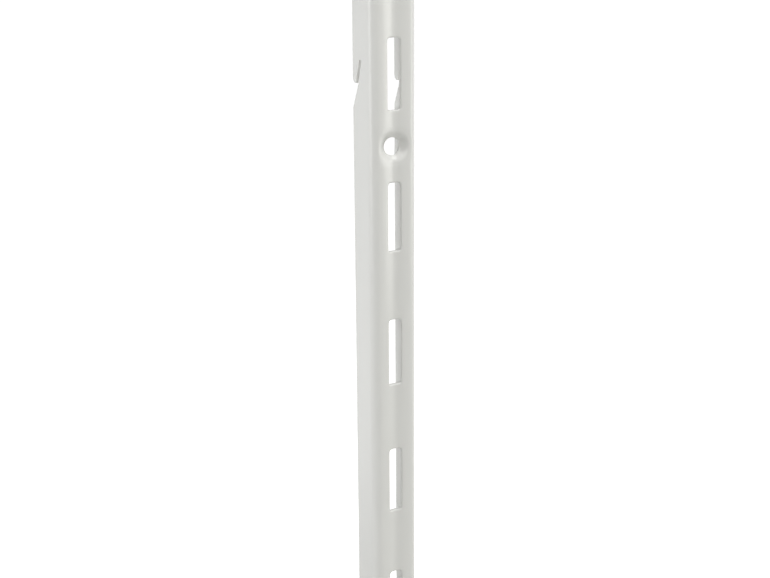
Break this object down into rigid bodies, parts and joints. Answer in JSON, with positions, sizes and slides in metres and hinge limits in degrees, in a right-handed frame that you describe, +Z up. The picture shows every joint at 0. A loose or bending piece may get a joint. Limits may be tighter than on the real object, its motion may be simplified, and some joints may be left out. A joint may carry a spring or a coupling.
{
  "type": "slotted wall upright",
  "caption": "White folded steel wall upright, a narrow channel with a row of upright bracket slots, pressed countersunk screw holes and rail hooks cut in its flanges.",
  "frame": {"origin": "on the wall plane, midway between the flanges, at the height where the two hooks bear on a rail's lip", "axes": "+Z up along the length, -Y out of the slotted face into the room, +Y to the wall, +X to the right as seen from the room"},
  "size_m": [0.018, 0.0138, 0.5],
  "materials": {
    "powder_coat": "white satin powder coat over sheet steel"
  },
  "bodies": {
    "root": {"upright": "powder_coat"}
  },
  "joints": []
}
